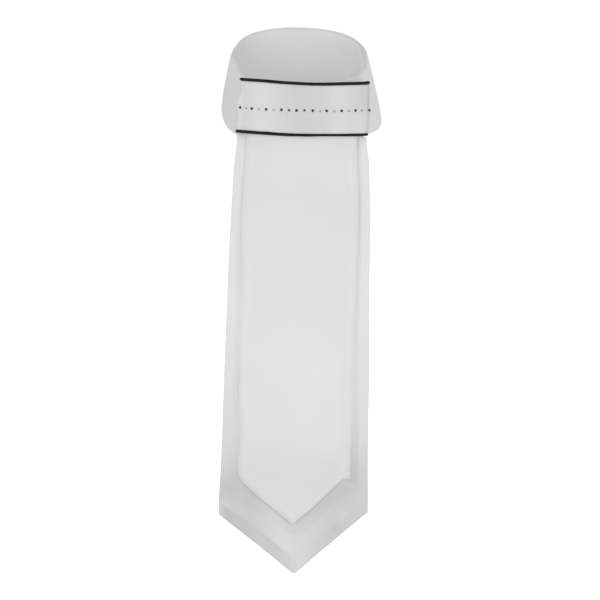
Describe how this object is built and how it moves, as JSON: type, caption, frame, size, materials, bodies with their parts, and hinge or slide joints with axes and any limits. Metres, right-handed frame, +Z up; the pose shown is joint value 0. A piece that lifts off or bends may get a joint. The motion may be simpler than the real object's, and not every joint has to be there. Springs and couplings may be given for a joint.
{
  "type": "ready-tied riding stock tie",
  "caption": "Ready-tied stock tie: a neckband that laps behind, a piped keeper set with stones, and two pointed tails hanging through it.",
  "frame": {"origin": "middle of the neck opening, where the band sits round the neck", "axes": "+Z up along the hanging tails, -Y out of the front of the keeper, +X to the right of someone facing the tie"},
  "size_m": [0.1392, 0.1252, 0.4698],
  "materials": {
    "band_cloth": "white cotton satin, soft sheen",
    "keeper_cloth": "white cotton satin, soft sheen",
    "tail_cloth": "white cotton satin, soft sheen",
    "fastening_tape": "looped nylon tape",
    "piping_cloth": "black satin bias tape round a cord",
    "jet_stone": "black facetted stone",
    "clear_stone": "clear facetted stone on a bright foil back"
  },
  "bodies": {
    "root": {"neckband": "band_cloth", "closure_pad": "fastening_tape", "keeper": "keeper_cloth", "piping_top": "piping_cloth", "piping_bottom": "piping_cloth", "front_tail": "tail_cloth", "back_tail": "tail_cloth", "jet_stone_01": "jet_stone", "jet_stone_02": "jet_stone", "jet_stone_03": "jet_stone", "jet_stone_04": "jet_stone", "jet_stone_05": "jet_stone", "jet_stone_06": "jet_stone", "jet_stone_07": "jet_stone", "jet_stone_08": "jet_stone", "jet_stone_09": "jet_stone", "jet_stone_10": "jet_stone", "clear_stone_01": "clear_stone", "clear_stone_02": "clear_stone", "clear_stone_03": "clear_stone", "clear_stone_04": "clear_stone", "clear_stone_05": "clear_stone", "clear_stone_06": "clear_stone", "clear_stone_07": "clear_stone", "clear_stone_08": "clear_stone", "clear_stone_09": "clear_stone"}
  },
  "joints": []
}
